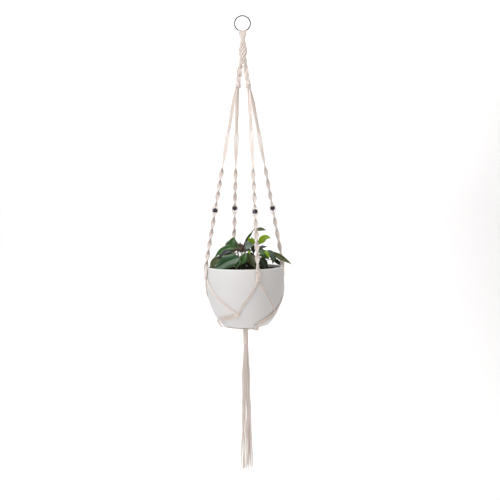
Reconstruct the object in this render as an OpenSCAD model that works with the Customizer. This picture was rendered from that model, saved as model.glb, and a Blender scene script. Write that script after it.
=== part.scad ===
// Hanging macrame planter: a steel ring, a knotted cotton hanger with four beaded arms, a net
// that carries a round pot with its plant, and a long tassel.
// Millimetres, +Z up. The origin is where a hook bears on the inside of the ring.

/* [Ring] */
// Outside diameter of the hanging ring
ring_od = 48; // [46:1:52]
// Diameter of the ring's wire
wire_d = 4; // [3:0.5:4]

/* [Cord] */
// Diameter of one cotton cord
cord_d = 3; // [2.6:0.1:3]
// Diameter of a cord where a bead squeezes it
core_d = 2.6; // [2.2:0.1:2.6]

/* [Hanger] */
// Drop from the hook seat to the narrow neck below the ring
neck_drop = 64; // [62:1:66]
// Drop to the fork where the top sinnet becomes two braids
fork_drop = 135; // [130:1:140]
// Drop to the lower end of the two braids
braid_drop = 193; // [188:1:198]
// Sideways distance of each braid's lower end from the middle
braid_reach = 14; // [13:1:16]
// Drop to the lower end of the four arms
arm_drop = 693; // [692:1:694]
// Distance of each arm's lower end from the middle
arm_reach = 112; // [112:1:113]
// Turn of the whole net about the vertical, from the front towards the right
net_turn = 18; // [0:1:30]

/* [Arm] */
// Length of the plain cords above the square knots
upper_len = 88; // [80:1:96]
// Length of the square knot sinnet
knots_len = 44; // [40:1:48]
// Length of the plain cords below the square knots
middle_len = 103; // [98:1:108]
// Length of the spiral sinnet above the bead
spiral_len = 99.5; // [92:0.5:103]
// Half turns in the spiral above the bead
upper_lobes = 3; // [2:0.5:4]
// Half turns in the spiral below the bead
lower_lobes = 5; // [4:1:6]

/* [Bead] */
// Outside diameter of a bead
bead_d = 12.2; // [11:0.2:12.2]
// Length of a bead along the arm
bead_len = 11.5; // [10:0.5:12]
// Diameter of the hole through a bead
bead_bore = 5.8; // [5.8:0.2:6.6]

/* [Pot] */
// Outside radius of the pot's rim
rim_r = 105; // [103:1:105]
// Outside radius of the pot's flat foot
foot_r = 58; // [56:1:60]
// Height of the pot
pot_h = 158.5; // [156.5:0.5:160.5]
// Thickness of the pot's wall
pot_wall = 5; // [4:0.5:7]
// Depth of the soil's surface below the rim
soil_gap = 8; // [6:1:10]

/* [Tassel] */
// Length of the wrapped neck under the pot
wrap_len = 46; // [40:1:46]
// Diameter of the wrapped neck
wrap_d = 14; // [13:0.5:14.5]

/* [Hidden] */
$fn = 48;

cream = [0.92, 0.88, 0.82];
clearance = 0.5;          // between the pot and the net round it
cord_r = cord_d / 2;
ring_r = (ring_od - wire_d) / 2;
ring_z = wire_d / 2 - ring_r;

// Loops over the ring
loop_count = 8;
loop_pitch = 2.75;
loop_slack = 1.3;         // play between the wire and a loop
loop_r = wire_d / 2 + loop_slack + cord_r;
loops_bottom = ring_z - ring_r - wire_d / 2 - 2;
neck_r = 7;

// Arms: azimuths run from the front (-Y) towards the right (+X)
arm_azimuth = [for (k = [3, 2, 0, 1]) net_turn + 90 * k];
arm_fan = 5;              // distance of each arm's top from its braid's middle
bead_gap = 36.5;          // between the two spirals; the bead is in its middle
bead_shift = [1, -4, 7, -4];   // hand-made arms: how much lower or higher each bead sits
function bead_at(n) = upper_len + knots_len + middle_len + spiral_len + bead_gap / 2 + bead_shift[n - 1];
band_w = 12.6;            // a sinnet's width
band_t = 6;               // a sinnet's thickness

// Pot: a revolved outline whose side is one Bezier curve from the foot to the rim
rim_z = -696;
foot_z = rim_z - pot_h;
side_curve = [[foot_r, 0], [foot_r + 22, 8], [rim_r + 11, 0.45 * pot_h], [rim_r, pot_h]];
side_steps = 24;

// Net: heights are above the pot's foot
split_h = 138.5;
side_knot_h = 40.5;
base_knot_h = 9;          // upper end of a base knot; its lower end is at the foot's edge
side_knot_turns = [59, 47, 40, 47];   // from each arm to the side knot on its right; the net is hand-made
base_knot_turn = 7;       // from an arm to the base knot below it
net_knot_d = 9.5;

// Tassel: one row for each strand, its [x, y] at each of the five drops
gather_z = -868;
wrap_straight = wrap_len - wrap_d / 2 - 6;   // between the centres of its two domed ends
tassel_drops = [-909, -985, -1070, -1155, -1240];
tassel_cut = [0, 4, -3, 2, -4, 0, 5, -2, 3, -5, 1, -3, 5, 0, -4, 2];
tassel_routes = [
  [[6.5, 0], [8.5, 0.5], [10.5, 0], [13, 1], [15, 2]],
  [[5, 4], [7, 5], [8, 5.5], [9, 7], [10.5, 8]],
  [[2, 6], [3, 8], [3.5, 8], [5, 8.5], [6, 10]],
  [[-2, 6], [-2.5, 7.5], [-4, 8.5], [-4, 9.5], [-5, 10]],
  [[-5, 4], [-7, 5], [-8, 6], [-9.5, 6], [-11, 7.5]],
  [[-6.5, 0], [-8.5, 0.5], [-11, 1], [-13, 1], [-15.5, 1.5]],
  [[-5, -4], [-7, -5], [-8.5, -5], [-9, -6.5], [-11, -7]],
  [[-2, -6], [-3, -7.5], [-3, -8.5], [-4.5, -9], [-5.5, -10]],
  [[2, -6], [2.5, -8], [4, -8], [4, -9.5], [5, -10]],
  [[5, -4], [7, -4.5], [8, -6], [10, -6], [11, -7.5]],
  [[3, 0], [4.5, 0.5], [5.5, -0.5], [8, -1], [9, -2.5]],
  [[1, 3], [1, 4], [2, 4.5], [3, 4], [3, 5]],
  [[-2.5, 2], [-4, 3], [-4, 2.5], [-6, 3], [-7, 4]],
  [[-2.5, -2], [-4, -2], [-5, -3], [-6.5, -2.5], [-7.5, -3]],
  [[1, -3], [1.5, -4.5], [1.5, -4.5], [3, -5], [3, -5.5]],
  [[-0.2, 0], [-0.5, -0.5], [0.5, 0.5], [-1, 0], [-1.5, -1]]
];

// Stems: [foot, top, diameter]; their feet stand a little way into the soil
stems_list = [
  [[-6, -4, -713], [-20, -6, -637], 4],
  [[4, 2, -713], [2, 0, -640], 4.4],
  [[8, -6, -713], [38, -12, -655], 3.6],
  [[2, 0, -640], [14, 4, -615], 2.6],
  [[14, 4, -615], [29, 2, -590], 2.2],
  [[2, 0, -640], [40, 4, -628], 2.4],
  [[-20, -6, -637], [2, 0, -640], 2.6],
  [[-8, -12, -713], [-12, -30, -676], 2.8],
  [[15, -13, -713], [40, -8, -690], 2.6],
  [[0, 10, -713], [-10, 26, -660], 2.6]
];
// Nodes of the plant where stems branch: [place, diameter]
stem_nodes = [[[2, 0, -640], 5.4], [[14, 4, -615], 3.4], [[-20, -6, -637], 4.8]];

// Leaves: [base, azimuth, lift at the base, droop along the leaf, length, width, roll]
dark_leaves = [
  [[-20, -9, -637], 288, 12, 62, 70, 25, -35],
  [[-23, 0, -635], 250, 66, 20, 34, 18, -40],
  [[-20, 10, -640], 258, 34, 40, 40, 17, -25],
  [[-23, -13, -645], 300, -5, 40, 32, 14, 20],
  [[-16, -17, -648], 305, 12, 96, 48, 15, -20],
  [[-14, -30, -676], 292, 22, 48, 74, 38, -42],
  [[-6, -34, -680], 325, 8, 36, 44, 24, -30],
  [[1, -17, -652], 332, -30, 60, 42, 16, 0],
  [[16, -5, -658], 20, -20, 65, 44, 20, 10],
  [[29, 2, -590], 82, 28, 62, 38, 15, 25],
  [[17, 10, -619], 30, 35, 70, 26, 18, 0],
  [[37, 2, -634], 85, 8, 30, 32, 17, 30],
  [[38, -19, -654], 72, 22, 95, 56, 20, 15],
  [[40, -5, -658], 84, 12, 46, 93, 25, 30],
  [[42, -16, -686], 60, 26, 66, 34, 24, 20],
  [[40, 6, -689], 96, 14, 28, 54, 14, 10],
  [[-10, 27, -660], 195, 30, 60, 46, 24, 0],
  [[-14, 16, -664], 250, 15, 50, 44, 20, 0],
  [[6, 12, -648], 150, 35, 60, 44, 22, 0],
  [[4, 4, -684], 350, 0, 30, 30, 22, 0],
  [[24, 5, -668], 75, 6, 46, 36, 20, 10]
];
bright_leaves = [
  [[40, 4, -626], 84, 34, 24, 36, 22, 40],
  [[14, 1, -625], 60, 30, 50, 22, 17, 25],
  [[10, -4, -629], 340, 40, 60, 18, 13, 0],
  [[14, -31, -670], 50, -15, 40, 28, 15, 20],
  [[12, -10, -646], 340, 70, 30, 12, 5, 0]
];
buds_list = [
  [[0, -4, -640], [-14, -6, -628]], [[0, -4, -640], [-8, -10, -625]],
  [[2, -4, -640], [2, -10, -624]], [[-2, -6, -642], [-12, -14, -648]],
  [[0, -6, -642], [-3, -14, -652]], [[-6, -6, -641], [-16, -12, -652]],
  [[2, -6, -642], [8, -14, -648]]
];

// ---------- geometry helpers ----------

function unit(v) = v / norm(v);
function polar(r, azimuth, z) = [r * sin(azimuth), -r * cos(azimuth), z];
function bezier(c, t) =
  pow(1 - t, 3) * c[0] + 3 * pow(1 - t, 2) * t * c[1] + 3 * (1 - t) * t * t * c[2] + pow(t, 3) * c[3];
function tangent(path, i) = unit(path[min(i + 1, len(path) - 1)] - path[max(i - 1, 0)]);

// Closed solid through rings of points that run away from the viewer, each ring anticlockwise
module loft(rings) {
  n = len(rings[0]);
  last = (len(rings) - 1) * n;
  polyhedron(
    points = [for (ring = rings) each ring],
    faces = concat(
      [[for (j = [n - 1 : -1 : 0]) j]],
      [for (i = [0 : len(rings) - 2], j = [0 : n - 1])
        let (a = i * n + j, b = i * n + (j + 1) % n, c = (i + 1) * n + (j + 1) % n, d = (i + 1) * n + j)
        each [[a, b, c], [a, c, d]]],
      [[for (j = [0 : n - 1]) last + j]]
    ),
    convexity = 6
  );
}

// Round tube of diameter d along a path; ref is never parallel to the path
module tube(path, d, ref = [0, 0, 1], sides = 8) {
  loft([for (i = [0 : len(path) - 1])
    let (t = tangent(path, i), u = unit(cross(ref, t)), v = cross(u, t))
    [for (j = [0 : sides - 1]) let (a = 360 * j / sides) path[i] + d / 2 * (cos(a) * u + sin(a) * v)]]);
}

// Straight rod between two points
module rod(a, b, d) {
  v = b - a;
  translate(a) rotate([0, acos(v.z / norm(v)), atan2(v.y, v.x)]) cylinder(h = norm(v), d = d);
}

// Band with oval sections; each station is [drop, half width, half thickness, angle]
module band(stations, sides = 10) {
  loft([for (s = stations) [for (j = [0 : sides - 1])
    let (a = 360 * j / sides, x = s[1] * cos(a), y = s[2] * sin(a))
    [x * cos(s[3]) - y * sin(s[3]), x * sin(s[3]) + y * cos(s[3]), -s[0]]]]);
}

// ---------- ring and top ----------

module ring() {
  color("silver") translate([0, 0, ring_z]) rotate([90, 0, 0])
    rotate_extrude() translate([ring_r, 0]) circle(d = wire_d);
}

// Each cord goes up in front of the wire, over it and down behind
module ring_loops() {
  color(cream) for (i = [0 : loop_count - 1]) {
    x = (i - (loop_count - 1) / 2) * loop_pitch;
    z = ring_z - sqrt(ring_r * ring_r - x * x);
    over = [for (a = [0 : 30 : 180]) [x, -loop_r * cos(a), z + loop_r * sin(a)]];
    tube(concat([[x, -loop_r, loops_bottom]], over, [[x, loop_r, loops_bottom]]), cord_d - 0.3, ref = [1, 0, 0]);
  }
}

module loop_neck() {
  half_w = loop_count * loop_pitch / 2;
  color(cream) band([
    [-loops_bottom, half_w, loop_r + cord_r, 0],
    [neck_drop - 12, 9.2, 6.8, 0],
    [neck_drop - neck_r - clearance, 5, 4.5, 0]
  ], sides = 16);
}

module top_sinnet() {
  dome = [for (a = [60, 30, 0]) [neck_drop - neck_r * sin(a), neck_r * cos(a), neck_r * cos(a), 0]];
  color(cream) band(concat(dome, [
    [80, 9, 6.5, 0], [92, 11.5, 7.5, 0], [102, 12, 8, 0], [113, 9, 7, 0],
    [122, 11, 7.5, 0], [fork_drop, 11.5, 7, 0]
  ]), sides = 12);
}

module braid(side) {
  lobe = 22;
  start_x = 5.8;
  length = braid_drop - 11 - fork_drop;
  steps = 12;
  color(cream) loft([for (i = [0 : steps])
    let (t = i / steps, d = t * length, w = 5 + 2 * abs(sin(180 * d / lobe)),
         x = side * (start_x + (braid_reach - start_x) * t))
    [for (j = [0 : 9]) let (a = 36 * j) [x + w * cos(a), 5 * sin(a), -fork_drop - d]]]);
}

module braid_knot(side) {
  color(cream) translate([side * braid_reach, 0, -braid_drop]) cylinder(h = 11, d = 17);
}

// ---------- arms ----------

function arm_side(n) = n <= 2 ? -1 : 1;
function arm_top(n) =
  [arm_side(n) * braid_reach, 0, -braid_drop] + polar(arm_fan, arm_azimuth[n - 1], 0);
function arm_foot(n) = polar(arm_reach, arm_azimuth[n - 1], -arm_drop);
function arm_length(n) = norm(arm_foot(n) - arm_top(n));

// Places its children at an arm's top, with -Z running down the arm
module on_arm(n) {
  run = unit(arm_foot(n) - arm_top(n));
  translate(arm_top(n)) rotate(a = acos(-run.z), v = cross([0, 0, -1], run)) children();
}

module upper_cords(n) {
  d = cord_d - 0.1;
  color(cream) on_arm(n) for (x = [-1, 1], y = [-1, 1])
    translate([x * cord_r, y * cord_r, -upper_len]) cylinder(h = upper_len, d = d);
}

module square_knots(n) {
  pitch = knots_len / 6;
  color(cream) on_arm(n) band([for (i = [0 : 12])
    let (bulge = i % 2) [upper_len + i * pitch / 2, 4.6 + 1.6 * bulge, 3.4 + 0.6 * bulge, 0]]);
}

module middle_cords(n) {
  top = -upper_len - knots_len;
  d = cord_d - 0.1;
  color(cream) on_arm(n) for (side = [-1, 1]) {
    rod([side * 1.6, 0, top - middle_len], [side * 1.6, 0, top], d);
    rod([side * 4.7, 0, top - middle_len], [side * 5.8, 0, top], d);
  }
}

// Half-knot sinnet: a flat band turned by half a turn in each lobe, ending at end_angle
module spiral(start, length, lobes, end_angle) {
  steps = 6 * lobes;
  band([for (i = [0 : steps])
    [start + length * i / steps, band_w / 2, band_t / 2, end_angle + 180 * lobes * (1 - i / steps)]]);
}

module upper_spiral(n) {
  start = upper_len + knots_len + middle_len;
  color(cream) on_arm(n) spiral(start, bead_at(n) - bead_gap / 2 - start, upper_lobes, 0);
}

module lower_spiral(n) {
  start = bead_at(n) + bead_gap / 2;
  color(cream) on_arm(n)
    spiral(start, arm_length(n) - start, lower_lobes, arm_azimuth[n - 1]);
}

// Two cords through the bead and two round it
module bead_cords(n) {
  round_r = bead_d / 2 + cord_r + 0.3;
  low = -bead_at(n) - bead_gap / 2;
  color(cream) on_arm(n) for (side = [-1, 1]) {
    rod([side * core_d * 0.52, 0, low], [side * core_d * 0.52, 0, low + bead_gap], core_d);
    tube([
      [side * 4.6, 0, low + bead_gap], [side * 6.4, 0, low + 0.83 * bead_gap],
      [side * round_r, 0, low + 0.66 * bead_gap], [side * round_r, 0, low + 0.34 * bead_gap],
      [side * 6.4, 0, low + 0.17 * bead_gap], [side * 4.6, 0, low]
    ], cord_d - 0.3, ref = [0, 1, 0]);
  }
}

module bead(n) {
  color([0.1, 0.08, 0.14]) on_arm(n) translate([0, 0, -bead_at(n)]) difference() {
    intersection() {
      sphere(d = bead_d * 1.12);
      cylinder(h = bead_len, d = bead_d, center = true);
    }
    cylinder(h = bead_len + 2, d = bead_bore, center = true);
  }
}

// ---------- pot ----------

side_points = [for (i = [0 : side_steps]) bezier(side_curve, i / side_steps)];
height_to_radius = [for (p = side_points) [p[1], p[0]]];
function pot_r(h) = lookup(h, height_to_radius);

// Outline of the space inside the wall, from its floor up to height top
function inside_points(top) = let (last = pot_r(top) - pot_wall)
  concat([for (p = side_points) if (p[1] > pot_wall && p[1] < top - 1) [p[0] - pot_wall, p[1]]], [[last, top]]);

module pot() {
  inside = inside_points(pot_h);
  color([0.93, 0.92, 0.9]) translate([0, 0, foot_z]) rotate_extrude($fn = 96) polygon(concat(
    [[0, 0]], side_points,
    [for (i = [len(inside) - 1 : -1 : 0]) inside[i]],
    [[0, inside[0][1]]]
  ));
}

module soil() {
  fit = 0.15;
  inside = inside_points(pot_h - soil_gap);
  color([0.13, 0.1, 0.08]) translate([0, 0, foot_z]) rotate_extrude($fn = 96) polygon(concat(
    [[0, inside[0][1] + 0.05]],
    [[inside[0][0] - fit, inside[0][1] + 0.05]],
    [for (i = [1 : len(inside) - 1]) [inside[i][0] - fit, inside[i][1]]],
    [[0, pot_h - soil_gap]]
  ));
}

// ---------- net round the pot ----------

// Point at a height on the pot's side, moved out from the surface
function on_pot(azimuth, h, out) =
  let (slope = pot_r(h + 2) - pot_r(h - 2), normal = unit([4, -slope]))
  polar(pot_r(h) + out * normal[0], azimuth, foot_z + h + out * normal[1]);
function side_azimuth(n) = arm_azimuth[n - 1] + side_knot_turns[n - 1];
// The side knot on the left of an arm belongs to the arm before it
function left_azimuth(n) =
  let (a = side_azimuth([2, 4, 1, 3][n - 1])) a > arm_azimuth[n - 1] ? a - 360 : a;
function pot_normal(azimuth, h) = unit(on_pot(azimuth, h, 1) - on_pot(azimuth, h, 0));

// Taut route between two points of the side; it turns faster where the pot is narrower
function side_route(from, to, steps) = [for (i = [0 : steps])
  let (t = i / steps) [from[0] + (to[0] - from[0]) * pow(t, 1.3), from[1] + (to[1] - from[1]) * t]];

// Cords side by side along a route on the pot
module cord_group(count, from, to, steps) {
  out = clearance + cord_r;
  route = side_route(from, to, steps);
  centre = [for (p = route) on_pot(p[0], p[1], out)];
  for (j = [0 : count - 1])
    tube([for (i = [0 : steps])
      let (across = unit(cross(tangent(centre, i), pot_normal(route[i][0], route[i][1]))))
      centre[i] + (j - (count - 1) / 2) * (cord_d + 0.1) * across],
      cord_d - 0.1);
}

module rim_cords(n) {
  az = arm_azimuth[n - 1];
  foot = arm_foot(n);
  end = on_pot(az, split_h, clearance + net_knot_d / 2);
  along = [cos(az), sin(az), 0];
  out = polar(1, az, 0);
  color(cream) loft([for (s = [[0, 6.2, 2.8], [0.5, 5.4, 2.9], [1, 4, 3.4]])
    let (c = foot + (end - foot) * s[0])
    [for (j = [0 : 9]) c + s[1] * cos(36 * j) * along - s[2] * sin(36 * j) * out]]);
}

module net_knot(azimuth, h) {
  color(cream) translate(on_pot(azimuth, h, clearance + net_knot_d / 2)) sphere(d = net_knot_d);
}

module split_knot(n) net_knot(arm_azimuth[n - 1], split_h - 4);

module net_cords() {
  color(cream) for (n = [1 : 4]) {
    from = [arm_azimuth[n - 1], split_h - 8];
    cord_group(2, from, [side_azimuth(n), side_knot_h + 3], 9);
    cord_group(2, from, [left_azimuth(n), side_knot_h + 3], 9);
  }
}

module side_knots() {
  for (n = [1 : 4]) net_knot(side_azimuth(n), side_knot_h);
}

module lower_net_cords() {
  color(cream) for (n = [1 : 4])
    cord_group(4, [side_azimuth(n), side_knot_h - 3], [arm_azimuth[n - 1] + base_knot_turn, base_knot_h + 2], 6);
}

module base_knots() {
  out = clearance + net_knot_d / 2 + 0.8;
  for (azimuth = arm_azimuth) color(cream) hull() {
    translate(on_pot(azimuth + base_knot_turn, base_knot_h, out)) sphere(d = net_knot_d);
    translate(on_pot(azimuth + base_knot_turn, 1.5, out)) sphere(d = net_knot_d);
  }
}

// Four cords side by side from each base knot, round the foot's edge and in to the middle
module base_cords() {
  z = foot_z - clearance - cord_r;   // they sag from the foot's edge to the gathering
  edge = on_pot(0, 3, clearance + cord_r);
  color(cream) for (azimuth = arm_azimuth, j = [0 : 3])
    rotate([0, 0, azimuth + base_knot_turn]) translate([(j - 1.5) * 3.1, 0, 0])
      tube([edge, [0, -foot_r - 2, z], [0, -foot_r / 2, (z + gather_z) / 2], [0, -8, gather_z]], cord_d - 0.1,
        ref = [1, 0, 0]);
}

// ---------- tassel ----------

module gathering_wrap() {
  color(cream) translate([0, 0, gather_z]) {
    sphere(d = wrap_d);
    translate([0, 0, -wrap_straight]) cylinder(h = wrap_straight, d = wrap_d);
    translate([0, 0, -wrap_straight]) sphere(d = wrap_d);
  }
}

module tassel_strands() {
  color(cream) for (k = [0 : len(tassel_routes) - 1])
    tube([for (i = [0 : 4])
      [tassel_routes[k][i][0], tassel_routes[k][i][1], tassel_drops[i] - (i == 4 ? tassel_cut[k] : 0)]],
      cord_d, ref = [1, 0, 0]);
}

// ---------- plant ----------

module stems() {
  color([0.3, 0.32, 0.14]) {
    for (s = stems_list) rod(s[0], s[1], s[2]);
    for (s = stem_nodes) translate(s[0]) sphere(d = s[1]);
  }
}

function leaf_heading(azimuth, angle) = polar(cos(angle), azimuth, sin(angle));
function leaf_spine(base, azimuth, lift, droop, length, steps, i) = i == 0 ? base :
  leaf_spine(base, azimuth, lift, droop, length, steps, i - 1)
  + length / steps * leaf_heading(azimuth, lift - droop * (i - 0.5) / steps);

// Thin folded leaf with a diamond section, pointed at both ends
module leaf(base, azimuth, lift, droop, length, width, roll) {
  steps = 6;
  thick = 0.7;
  fold = 0.22;
  loft([for (i = [0 : steps])
    let (t = i / steps, half = max(0.6, width / 2 * pow(sin(180 * pow(t, 0.8)), 0.9)),
         along = leaf_heading(azimuth, lift - droop * t), level = [cos(azimuth), sin(azimuth), 0],
         upright = cross(level, along), across = cos(roll) * level + sin(roll) * upright,
         normal = cross(across, along), c = leaf_spine(base, azimuth, lift, droop, length, steps, i))
    [c - half * across + half * fold * normal, c + thick * normal,
     c + half * across + half * fold * normal, c - thick * normal]]);
}

module leaves_dark() {
  color([0.12, 0.27, 0.12]) for (l = dark_leaves) leaf(l[0], l[1], l[2], l[3], l[4], l[5], l[6]);
}

module leaves_bright() {
  color([0.42, 0.6, 0.08]) for (l = bright_leaves) leaf(l[0], l[1], l[2], l[3], l[4], l[5], l[6]);
}

module buds() {
  color([0.35, 0.08, 0.14]) for (b = buds_list) rod(b[0], b[1], 1.8);
}

// ---------- node switch ----------

ring();
ring_loops();
loop_neck();
top_sinnet();
braid(-1);  // braid_left
braid(1);  // braid_right
braid_knot(-1);  // braid_knot_left
braid_knot(1);  // braid_knot_right
upper_cords(1);  // upper_cords_1
upper_cords(2);  // upper_cords_2
upper_cords(3);  // upper_cords_3
upper_cords(4);  // upper_cords_4
square_knots(1);  // square_knots_1
square_knots(2);  // square_knots_2
square_knots(3);  // square_knots_3
square_knots(4);  // square_knots_4
middle_cords(1);  // middle_cords_1
middle_cords(2);  // middle_cords_2
middle_cords(3);  // middle_cords_3
middle_cords(4);  // middle_cords_4
upper_spiral(1);  // upper_spiral_1
upper_spiral(2);  // upper_spiral_2
upper_spiral(3);  // upper_spiral_3
upper_spiral(4);  // upper_spiral_4
bead_cords(1);  // bead_cords_1
bead_cords(2);  // bead_cords_2
bead_cords(3);  // bead_cords_3
bead_cords(4);  // bead_cords_4
bead(1);  // bead_1
bead(2);  // bead_2
bead(3);  // bead_3
bead(4);  // bead_4
lower_spiral(1);  // lower_spiral_1
lower_spiral(2);  // lower_spiral_2
lower_spiral(3);  // lower_spiral_3
lower_spiral(4);  // lower_spiral_4
rim_cords(1);  // rim_cords_1
rim_cords(2);  // rim_cords_2
rim_cords(3);  // rim_cords_3
rim_cords(4);  // rim_cords_4
split_knot(1);  // split_knot_1
split_knot(2);  // split_knot_2
split_knot(3);  // split_knot_3
split_knot(4);  // split_knot_4
net_cords();
side_knots();
lower_net_cords();
base_knots();
base_cords();
gathering_wrap();
tassel_strands();
pot();
soil();
stems();
leaves_dark();
leaves_bright();
buds();
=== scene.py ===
import math

import bpy
import numpy as np
from mathutils import Matrix, Vector

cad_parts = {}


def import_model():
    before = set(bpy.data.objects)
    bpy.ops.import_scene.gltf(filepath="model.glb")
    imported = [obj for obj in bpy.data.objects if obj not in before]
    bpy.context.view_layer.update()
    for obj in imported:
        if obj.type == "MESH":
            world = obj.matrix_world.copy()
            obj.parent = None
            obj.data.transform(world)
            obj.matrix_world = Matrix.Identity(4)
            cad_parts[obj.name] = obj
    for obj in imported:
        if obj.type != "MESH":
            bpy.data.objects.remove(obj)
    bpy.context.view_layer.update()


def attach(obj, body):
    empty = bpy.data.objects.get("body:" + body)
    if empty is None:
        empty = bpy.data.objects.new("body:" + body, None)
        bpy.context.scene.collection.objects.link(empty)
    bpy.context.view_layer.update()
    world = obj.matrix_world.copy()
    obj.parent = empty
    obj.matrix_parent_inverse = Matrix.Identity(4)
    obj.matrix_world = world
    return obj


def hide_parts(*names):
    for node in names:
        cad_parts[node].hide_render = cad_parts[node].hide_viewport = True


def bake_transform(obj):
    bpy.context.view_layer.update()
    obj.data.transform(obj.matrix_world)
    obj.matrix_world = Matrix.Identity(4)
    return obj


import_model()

RNG = np.random.default_rng(11)
SCENE = bpy.context.scene

# ---------- sizes, as in the part ----------

CORD_D = 3.0
RING_R, WIRE_D, RING_Z = 22.0, 4.0, -20.0
LOOP_PITCH = 2.75
FORK_Z, BRAID_Z = -135.0, -193.0
BRAID_X = 14.0
ARM_AZIMUTH = {1: 288, 2: 198, 3: 18, 4: 108}
ARM_REACH, ARM_Z = 112.0, -693.0
SQUARE_START, SQUARE_END, SPIRAL_START = 88.0, 132.0, 235.0
BEAD_AT = {1: 353.75, 2: 348.75, 3: 359.75, 4: 348.75}
# Stations where each spiral is seen edge-on, above and below its bead
WAISTS_ABOVE = {1: (236, 268, 298, 329), 2: (232, 269, 301, 333), 3: (241, 275, 306, 337),
                4: (230, 262, 297, 327)}
WAISTS_BELOW = {1: (371, 404, 432, 462, 492), 2: (373, 407, 439, 471, 503), 3: (378, 406, 437, 469, 499),
                4: (373, 404, 440, 474)}
OVER_RIM = 10             # how far a spiral goes on below the arm's foot
FOOT_ANGLE = {1: -792, 2: -702, 3: -702, 4: -612}
HALF_KNOT = 4.7           # length of one half knot of a spiral
CORE_X = 1.35             # from a sinnet's middle line to the middle of each of its two core cords
BAND_X, BAND_Y = 5.6, 2.0   # where a working cord's middle runs round a spiral's core
RIM_Z, RIM_R, POT_H = -696.0, 105.0, 158.5
FOOT_Z = RIM_Z - POT_H
SIDE_CURVE = np.array([[58, 0], [80, 8], [116, 0.45 * POT_H], [RIM_R, POT_H]], float)
POT_WALL, LIP_R, SOIL_GAP = 5.0, 1.6, 8.0
NET_PITCH = 3.08          # from one cord of the net to the next
SPLIT_H, SIDE_H = 136.0, 40.5
BASE_H = {1: 12.0, 2: 6.0, 3: 6.0, 4: 6.0}
SIDE_TURN = {1: 59, 2: 47, 3: 40, 4: 47}
LEFT_ARM = {1: 2, 2: 4, 3: 1, 4: 3}
BASE_TURN = 7
GATHER_Z, WRAP_R = -868.0, 7.0
WRAP_TOP, WRAP_BOTTOM = GATHER_Z + WRAP_R, -908.0
# Each tassel strand as (x, y) at the wrap and at the levels below it
TASSEL_LEVELS = (-985, -1070, -1155, -1240)
TASSEL_CUT = (0, 4, -3, 2, -4, 0, 5, -2, 3, -5, 1, -3, 5, 0, -4, 2)
TASSEL_ROUTES = (
    ((6.5, 0), (8.5, .5), (10.5, 0), (13, 1), (15, 2)), ((5, 4), (7, 5), (8, 5.5), (9, 7), (10.5, 8)),
    ((2, 6), (3, 8), (3.5, 8), (5, 8.5), (6, 10)), ((-2, 6), (-2.5, 7.5), (-4, 8.5), (-4, 9.5), (-5, 10)),
    ((-5, 4), (-7, 5), (-8, 6), (-9.5, 6), (-11, 7.5)),
    ((-6.5, 0), (-8.5, .5), (-11, 1), (-13, 1), (-15.5, 1.5)),
    ((-5, -4), (-7, -5), (-8.5, -5), (-9, -6.5), (-11, -7)),
    ((-2, -6), (-3, -7.5), (-3, -8.5), (-4.5, -9), (-5.5, -10)),
    ((2, -6), (2.5, -8), (4, -8), (4, -9.5), (5, -10)), ((5, -4), (7, -4.5), (8, -6), (10, -6), (11, -7.5)),
    ((3, 0), (4.5, .5), (5.5, -.5), (8, -1), (9, -2.5)), ((1, 3), (1, 4), (2, 4.5), (3, 4), (3, 5)),
    ((-2.5, 2), (-4, 3), (-4, 2.5), (-6, 3), (-7, 4)),
    ((-2.5, -2), (-4, -2), (-5, -3), (-6.5, -2.5), (-7.5, -3)),
    ((1, -3), (1.5, -4.5), (1.5, -4.5), (3, -5), (3, -5.5)),
    ((-.2, 0), (-.5, -.5), (.5, .5), (-1, 0), (-1.5, -1)))
# start, end, diameter
STEMS = (
    ((-6, -4, -713), (-20, -6, -637), 4), ((4, 2, -713), (2, 0, -640), 4.4),
    ((8, -6, -713), (38, -12, -655), 3.6), ((2, 0, -640), (14, 4, -615), 2.6),
    ((14, 4, -615), (29, 2, -590), 2.2), ((2, 0, -640), (40, 4, -628), 2.4),
    ((-20, -6, -637), (2, 0, -640), 2.6), ((-8, -12, -713), (-12, -30, -676), 2.8),
    ((15, -13, -713), (40, -8, -690), 2.6), ((0, 10, -713), (-10, 26, -660), 2.6))
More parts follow.
